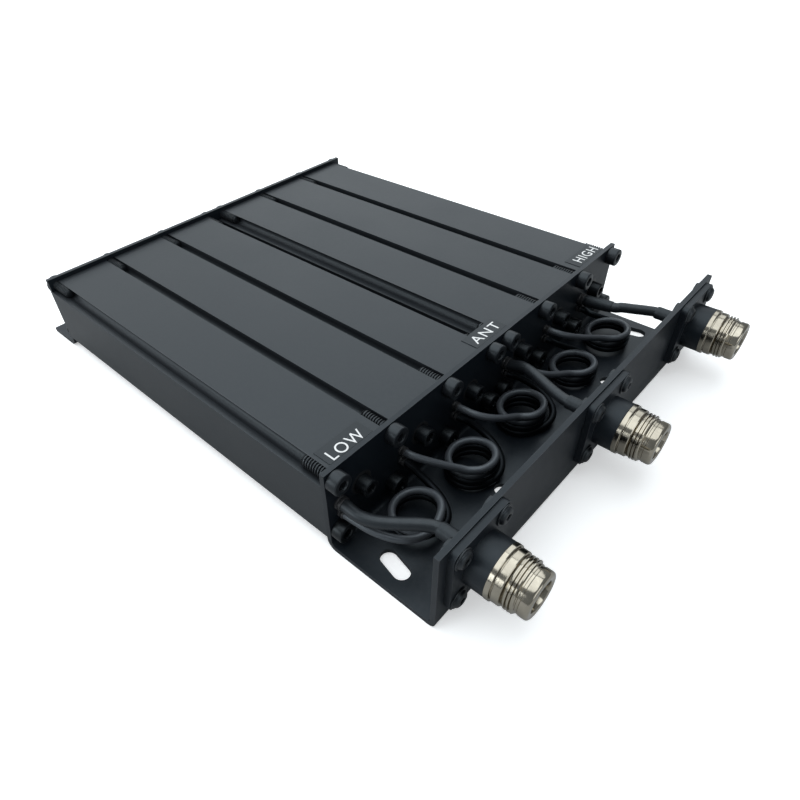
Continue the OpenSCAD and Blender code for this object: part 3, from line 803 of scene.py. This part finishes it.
# %% Cap screws
def cut_thread():
    """The lower part of a screw through an end plate, up to its seat at 0."""
    rings = round_rings([(1.3, -12), (1.6, -11.8)])
    rings += thread_rings(2.0, 1.5, 1.0, -11.8, -0.5)
    return rings + [round_ring(1.75, -0.3)]


def dome(base, top, low, high, sides, steps=6):
    """Rings of a button head, which rises steeply at its base and lies flat at its top."""
    rings = []
    for i in range(steps + 1):
        a = math.pi / 2 * i / steps
        radius = top + (base - top) * math.cos(a)
        rings.append(round_ring(radius, low + (high - low) * math.sin(a), sides))
    return rings


def cap_screw_mesh():
    rings = cut_thread()
    rings += round_rings([(2.1, 0), (3.3, 0), (3.5, 0.2), (3.5, 3.62), (3.42, 3.82), (3.16, 4.0),
                          (1.85, 4.0)])
    return skin(rings + [hex_ring(3, 3.7), hex_ring(3, 2.05), round_ring(1.2, 1.75)])


def low_screw_mesh():
    rings = cut_thread()
    rings += round_rings([(2.1, 0), (3.7, 0), (3.8, 0.15)])
    rings += dome(3.8, 1.9, 0.4, 2.2, 48)
    rings += [round_ring(1.5, 2.18), hex_ring(2.5, 1.9), hex_ring(2.5, 1.0), round_ring(1.0, 0.8)]
    return skin(rings)


LOW_HEAD = 2.2
cap_screw = template("cap_screw_shape", cap_screw_mesh())
low_screw = template("low_screw_shape", low_screw_mesh())
rear_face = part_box("rear_top_screws")[1].y - LOW_HEAD * MM
place_hardware("front_top_screws", cap_screw, plate_face, FRONTWARDS, 3)
place_hardware("front_bottom_screws", cap_screw, plate_face, FRONTWARDS, 5)
place_hardware("rear_top_screws", low_screw, rear_face, REARWARDS, 7)
place_hardware("rear_bottom_screws", low_screw, rear_face, REARWARDS, 11)

# %% [markdown]
# ### Flange screws and nuts
# Low button heads with a rim hold each connector flange. They screw into round nuts that are
# pressed into the back of the lip. A button head is a dome, so its rings follow an arc.

# %% Flange screws and nuts
def button_screw_mesh():
    rings = round_rings([(1.0, -5.2), (1.2, -5.1)], 36)
    rings += thread_rings(1.5, 1.2, 0.5, -5.1, -2.3, 36)
    rings += round_rings([(1.5, -2.2), (1.5, 0), (3.35, 0), (3.45, 0.1), (3.45, 0.34), (3.3, 0.5),
                          (2.9, 0.52)], 36)
    rings += dome(2.8, 1.45, 0.6, 1.65, 36)
    rings += [round_ring(1.25, 1.64, 36), hex_ring(2, 1.45, 36), hex_ring(2, 0.7, 36),
              round_ring(0.7, 0.55, 36)]
    return skin(rings)


def nut_mesh():
    return skin(round_rings([(2.9, 0), (3.0, 0.12), (3.0, 1.2), (1.53, 1.2), (1.53, 0.15), (1.7, 0)]),
                tube=True)


BUTTON_HEAD = 1.65
button_screw = template("button_screw_shape", button_screw_mesh())
nut = template("nut_shape", nut_mesh())
flange_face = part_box("flange_screws")[0].y + BUTTON_HEAD * MM
nut_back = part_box("flange_nuts")[1].y
place_hardware("flange_screws", button_screw, flange_face, FRONTWARDS, 13)
place_hardware("flange_nuts", nut, nut_back, FRONTWARDS, 17)

# %% [markdown]
# ### Ferrules
# A short crimped ferrule keeps each cable from chafing in the plate. Jumpers and feeds need two
# sizes, so the ferrules are grown twice and the two meshes are joined into one piece.

# %% Ferrules
FERRULE_LENGTH = 2.0
FERRULE_WALL = 0.4
FERRULE_BORES = (1.2, 2.0)


def ferrule_mesh(bore):
    outer = bore + FERRULE_WALL
    end = FERRULE_LENGTH
    waist = outer - 0.12
    return skin(round_rings([
        (outer, 0), (outer, 0.5), (waist, 0.65), (waist, 1.1), (outer, 1.25), (outer, end - 0.15),
        (outer - 0.2, end), (bore + 0.1, end), (bore, end - 0.1), (bore, 0)]), tube=True)


def join_meshes(name, parts):
    joined = bmesh.new()
    for part in parts:
        joined.from_mesh(part)
    data = bpy.data.meshes.new(name)
    joined.to_mesh(data)
    joined.free()
    return data


ferrule_parts = []
for bore in FERRULE_BORES:
    shape = template(f"ferrule_shape_{bore}", ferrule_mesh(bore))
    boxes = [(low, high) for low, high in solids_of("port_ferrules")
             if abs((high.x - low.x) / 2 / MM - bore - FERRULE_WALL) < 0.1]
    ferrule_parts.append(copies(f"ferrules_{bore}", shape, seats(boxes, plate_face), FRONTWARDS,
                                ferrule_dark, 19))
    print("ferrules with bore", bore, ":", len(boxes))
put("port_ferrules_made", join_meshes("port_ferrules_made", ferrule_parts), ferrule_dark, "unit",
    ["port_ferrules"])
for shape in shapes:
    bpy.data.objects.remove(shape)

# %% [markdown]
# ## Connectors
# Each type N jack is a nickel-plated shell that passes through a black square flange with a collar.
# Outside the collar come a ring, a fine groove, a smooth band, almost four turns of the coupling
# thread and a plain nose. The mouth shows a white bead and a slit contact. The shell is one turned
# skin, with its thread cut into it, and its bore is marked in the mesh, where the finish paints shade
# inside the mouth.

# %% Connector shells
CONNECTOR_Y = -40
THREAD_R = 7.94
THREAD_ROOT_R = 7.25
THREAD_PITCH = 1.058
BORE_R = 4.9
BORE_FROM = 9
SHELL_SIDES = 96


def shell_mesh():
    back = [(1.3, -8.8), (2.1, -8.8), (2.3, -8.6), (2.3, -3.8), (5.2, -3.8), (5.4, -3.6), (5.4, 0),
            (6.6, 0), (6.6, 8.6)]
    band = [(8.45, 8.6), (8.6, 8.75), (8.6, 10.0), (8.42, 10.18), (7.62, 10.22), (7.62, 10.56),
            (8.0, 10.62), (8.15, 10.76), (8.15, 12.7), (7.95, 12.95), (7.4, 13.1)]
    nose = [(7.02, 17.1), (7.02, 17.75), (7.1, 17.85), (7.2, 17.95), (7.2, 19.7), (7.12, 20.15),
            (6.9, 20.45), (6.6, 20.63), (6.3, 20.7)]
    inside = [(5.15, 20.7), (4.8, 20.5), (4.7, 20.2), (4.7, 9.5), (3.5, 9.5), (3.5, -2), (1.3, -2)]
    thread = thread_rings(THREAD_R, THREAD_ROOT_R, THREAD_PITCH, 13.1, 17.0, SHELL_SIDES)
    mesh = skin(round_rings(back + band, SHELL_SIDES) + thread
                + round_rings(nose + inside, SHELL_SIDES), tube=True)
    # The bore mark is where the finish paints shade inside the mouth.
    bore = mesh.verts.layers.float.new("bore")
    for vert in mesh.verts:
        if vert.co.z > BORE_FROM and vert.co.xy.length < BORE_R:
            vert[bore] = 1.0
    return mesh


def bead_mesh():
    return skin(round_rings([
        (3.5, -2), (3.5, 9.3), (3.3, 9.5), (2.6, 9.5), (2.45, 9.2), (2.0, 9.2), (1.85, 9.5),
        (1.6, 9.5), (1.56, 9.3), (1.56, -2)]), tube=True)


for side, x in CONNECTOR_XS.items():
    place = facing_front(x, CONNECTOR_Y, CONNECTOR_Z)
    put(f"shell_{side}_made", to_mesh(shell_mesh(), f"shell_{side}", place), bright_nickel, "unit",
        [f"connector_shell_{side}"])
    put(f"bead_{side}_made", to_mesh(bead_mesh(), f"bead_{side}", place), white_bead, "unit",
        [f"connector_insulator_{side}"])

# %% [markdown]
# ## Sheet metal, blocks and small turned parts
# The brackets, blocks, flanges, bushes and contacts already have the right shape in CAD, but their
# edges are perfectly sharp. A merged copy gets a small bevel, which is what catches light along a
# real edge.

# %% Softened copies of CAD nodes
FLAT_ANGLE = math.radians(0.3)


def soften(node, width, material, steps=2):
    """Replaces a CAD node by a copy of itself with softened edges."""
    mesh = merged(node)
    bmesh.ops.dissolve_limit(mesh, angle_limit=FLAT_ANGLE, verts=mesh.verts, edges=mesh.edges,
                             use_dissolve_boundaries=False)
    smooth_faces(mesh)
    data = bpy.data.meshes.new(node + "_soft")
    mesh.to_mesh(data)
    mesh.free()
    piece = put(node + "_soft", data, material, "unit", [node])
    bevel = piece.modifiers.new("softened edges", "BEVEL")
    bevel.width = width * MM
    bevel.segments = steps
    bevel.limit_method = "ANGLE"
    bevel.angle_limit = SHARP_ANGLE
    bevel.harden_normals = True


for node in ("front_bracket", "rear_bracket"):
    soften(node, 0.18, bracket_black)
for node in ("cavity_block_low", "cavity_block_high"):
    soften(node, 0.15, block_grey)
soften("tuning_bushes", 0.12, bush_dark)
for side in CONNECTOR_XS:
    soften(f"connector_flange_{side}", 0.25, bracket_black, 3)
    soften(f"connector_contact_{side}", 0.08, gold)
    soften(f"label_{side}", 0.05, label_film)

# %% [markdown]
# ## Shrunk sleeves
# Heat-shrink tube grips the connector's barrel and necks down on to the cable behind it. Its
# surface is never quite even, so its rings wander a little. The HIGH feed has one more sleeve at
# the plate.

# %% Shrunk sleeves
def sleeve_rings(profile, sides=36, wander=0.0):
    """Rings through a profile of (radius, z) pairs, each a little out of round."""
    rings = []
    for i, (radius, z) in enumerate(profile):
        ring = []
        for a in turns(sides):
            bulge = (math.sin(3 * a + 1.7 * i) + math.sin(5 * a - 2.3 * i)) / 2
            ring.append(round_point(radius + wander * bulge, a, z))
        rings.append(ring)
    return rings


def barrel_sleeve_mesh():
    outside = [(2.4, -4.05), (2.5, -4.3), (2.49, -5.2), (2.46, -6.2), (2.5, -7.2), (2.47, -8.1),
               (2.49, -8.8), (2.45, -9.4), (2.48, -10.2), (2.46, -10.9), (2.36, -11.3)]
    inside = [(2.04, -11.35), (2.04, -9.3), (2.31, -8.75), (2.32, -4.2)]
    rings = sleeve_rings(outside, wander=0.04) + sleeve_rings(inside)
    return skin(rings[::-1], tube=True)


def plate_sleeve_mesh():
    outside = [(2.24, 0.05), (2.36, 0.25), (2.39, 1.6), (2.35, 3.1), (2.39, 4.8), (2.36, 6.4),
               (2.38, 8.1), (2.35, 9.6), (2.32, 10.6), (2.26, 11.1), (2.2, 11.2)]
    inside = [(2.06, 11.2), (2.06, 0.1)]
    return skin(sleeve_rings(outside, wander=0.03) + sleeve_rings(inside), tube=True)


sleeve_parts = [to_mesh(barrel_sleeve_mesh(), "barrel_sleeve", facing_front(x, CONNECTOR_Y, CONNECTOR_Z))
                for x in CONNECTOR_XS.values()]
high_feed = cables["feed_cable_high"][0]
along_feed = (high_feed[2] - high_feed[1]).to_track_quat("Z", "Y").to_matrix().to_4x4()
at_plate = Matrix.Translation(spot(*high_feed[1])) @ along_feed
sleeve_parts.append(to_mesh(plate_sleeve_mesh(), "plate_sleeve", at_plate))
put("feed_sleeves_made", join_meshes("feed_sleeves_made", sleeve_parts), sleeve_black, "unit",
    ["feed_sleeves"])

# %% [markdown]
# ## Tuning screws
# Six captive screws set the cavities. Only the socketed end shows: a plain cylinder with a small
# chamfer and a 3 mm hexagon socket. Behind the bush a collar holds it, and a fine lead thread moves
# the plunger, so each screw rides its own body.

# %% Tuning screws
TUNING_Z = 19
STOPPED_AT = (0, 17, 41, 8, 52, 29)


def tuning_screw_mesh():
    rings = round_rings([(1.4, -62), (1.62, -61.8)], 36)
    rings += thread_rings(2.0, 1.62, 0.7, -61.8, -7.3, 36)
    rings += round_rings([
        (2.0, -7.1), (3.5, -7.05), (3.6, -6.95), (3.6, -6.15), (3.5, -6.05), (2.15, -6.05),
        (2.15, -2.95), (3.0, -2.95), (3.1, -2.85), (3.1, 3.85), (3.03, 4.02), (2.8, 4.2),
        (1.85, 4.2)], 36)
    rings += [hex_ring(3, 3.9, 36), hex_ring(3, 1.7, 36), round_ring(1.2, 1.4, 36)]
    return skin(rings)


# The tuning screws take the darker copy of the screw black, which paints their shade.
for k in range(1, 7):
    name = f"tuning_screw_{k}_made"
    twist = Matrix.Rotation(math.radians(STOPPED_AT[k - 1]), 4, "Z")
    data = to_mesh(tuning_screw_mesh(), name, facing_front(cavity_x(k), 0, TUNING_Z) @ twist)
    put(name, data, tuning_shaded_black, f"screw_{k}", [f"tuning_screw_{k}"])

# %% [markdown]
# ## Inside the cavities
# The resonator tubes, plungers and coupling loops are out of sight. Their CAD shapes are right as
# they are, so they only get their finishes.

# %% Finishes on the CAD nodes that stay
for k in range(1, 7):
    for node, material in ((f"resonator_tube_{k}", copper), (f"tuning_plunger_{k}", copper),
                           (f"coupling_loop_{k}", loop_wire)):
        nodes[node].data.materials.clear()
        nodes[node].data.materials.append(material)
print("nodes finished in place: 18")

# %% [markdown]
# ## Lettering
# The ports are marked LOW, ANT and HIGH in white on thin film. Blender's text makes the letters,
# which are made a mesh and then laid on the film.

# %% Lettering
PANEL_TOP = 32.0
LETTER_RISE = 0.06


def lettering(name, words, centre_x, centre_y, height, width):
    """Raised white letters of a given height and width, centred on a point of the top panels."""
    text = bpy.data.curves.new(name, "FONT")
    text.body = words
    text.align_x = "CENTER"
    text.space_character = 1.15
    text.extrude = 0.01
    text.resolution_u = 6
    holder = bpy.data.objects.new(name + "_text", text)
    bring_in(holder)
    evaluated = holder.evaluated_get(bpy.context.evaluated_depsgraph_get())
    data = bpy.data.meshes.new_from_object(evaluated)
    bpy.data.objects.remove(holder)
    low = [min(v.co[i] for v in data.vertices) for i in range(3)]
    high = [max(v.co[i] for v in data.vertices) for i in range(3)]
    for v in data.vertices:
        share = [(v.co[i] - low[i]) / (high[i] - low[i]) for i in range(3)]
        v.co = spot(centre_x + (share[0] - 0.5) * width, centre_y + (share[1] - 0.5) * height,
                    PANEL_TOP + LETTER_RISE * share[2])
    put(name, data, white_ink, "unit", [])


lettering("letters_low", "LOW", -71.8, 5.4, 4.3, 13.6)
lettering("letters_ant", "ANT", 0.2, 6.2, 4.0, 14.6)
lettering("letters_high", "HIGH", 72.9, 6.2, 4.2, 14.6)

# %% [markdown]
# ## Studio
# A pale floor under five softboxes in a dim, slightly cool room. The softboxes are large, so that
# the satin panels stay even and each cable gets one soft line of light. The camera sees a white
# backdrop and a white floor, as in the photograph, but both send little light back to the object,
# which keeps it dark.

# %% The floor
FLOOR_GREY = (0.5, 0.5, 0.5, 1)
FLOOR_WHITE = (0.98, 0.98, 0.98, 1)
FLOOR_GLOW = 0.42
FLOOR_Z = -0.0001


def floor_material():
    material = bpy.data.materials.new("studio floor")
    material.use_nodes = True
    tree = material.node_tree
    shader = tree.nodes["Principled BSDF"]
    shader.inputs["Base Color"].default_value = FLOOR_GREY
    shader.inputs["Roughness"].default_value = 0.9
    shader.inputs["Specular IOR Level"].default_value = 0.0
    seen = add_node(tree, "ShaderNodeLightPath").outputs["Is Camera Ray"]
    white = add_node(tree, "ShaderNodeBsdfDiffuse", {"Color": FLOOR_WHITE})
    glow = add_node(tree, "ShaderNodeEmission", {"Color": (1, 1, 1, 1), "Strength": FLOOR_GLOW})
    shown = add_node(tree, "ShaderNodeAddShader", {0: white.outputs[0], 1: glow.outputs[0]})
    mix = add_node(tree, "ShaderNodeMixShader", {0: seen, 1: shader.outputs[0], 2: shown.outputs[0]})
    tree.links.new(mix.outputs[0], tree.nodes["Material Output"].inputs["Surface"])
    return material


floor_mesh = bmesh.new()
bmesh.ops.create_grid(floor_mesh, x_segments=4, y_segments=4, size=3.0)
floor_data = bpy.data.meshes.new("floor")
floor_mesh.to_mesh(floor_data)
floor_mesh.free()
floor_data.materials.append(floor_material())
floor = bpy.data.objects.new("floor", floor_data)
bring_in(floor)
floor.location.z = FLOOR_Z
print("floor at z", round(floor.location.z, 5))

# %% The room and its lights
SOFT = (0.92, 0.97, 1.0)
ROOM = (0.88, 0.95, 1.0, 1)
ROOM_STRENGTH = 0.25


def soft_light(name, place, width, height, power):
    """A rectangular softbox at a place in metres, facing the object."""
    box = bpy.data.lights.new(name, "AREA")
    box.shape = "RECTANGLE"
    box.size = width
    box.size_y = height
    box.energy = power
    box.color = SOFT
    lamp = bpy.data.objects.new(name, box)
    lamp.location = place
    lamp.rotation_euler = (-Vector(place)).to_track_quat("-Z", "Y").to_euler()
    bring_in(lamp)


world = bpy.data.worlds.new("soft room")
world.use_nodes = True
room = world.node_tree
light = room.nodes["Background"]
light.inputs["Color"].default_value = ROOM
light.inputs["Strength"].default_value = ROOM_STRENGTH
backdrop = add_node(room, "ShaderNodeBackground", {"Color": (1, 1, 1, 1), "Strength": 1.0})
seen = add_node(room, "ShaderNodeLightPath").outputs["Is Camera Ray"]
either = add_node(room, "ShaderNodeMixShader", {
    0: seen, 1: light.outputs["Background"], 2: backdrop.outputs["Background"]})
room.links.new(either.outputs["Shader"], room.nodes["World Output"].inputs["Surface"])
bpy.context.scene.world = world
soft_light("overhead softbox", (-0.15, 0.3, 1.35), 1.7, 1.7, 17)
soft_light("right softbox", (2.0, 1.4, 1.7), 2.8, 2.4, 29)
soft_light("back softbox", (-0.2, 2.2, 0.9), 2.6, 1.2, 10)
soft_light("left softbox", (-1.9, 1.1, 0.7), 1.6, 1.0, 16)
soft_light("front softbox", (-0.3, -1.9, 0.8), 1.8, 1.0, 8)
bpy.context.scene.view_settings.view_transform = "Standard"
print("lights:", len(bpy.data.lights))
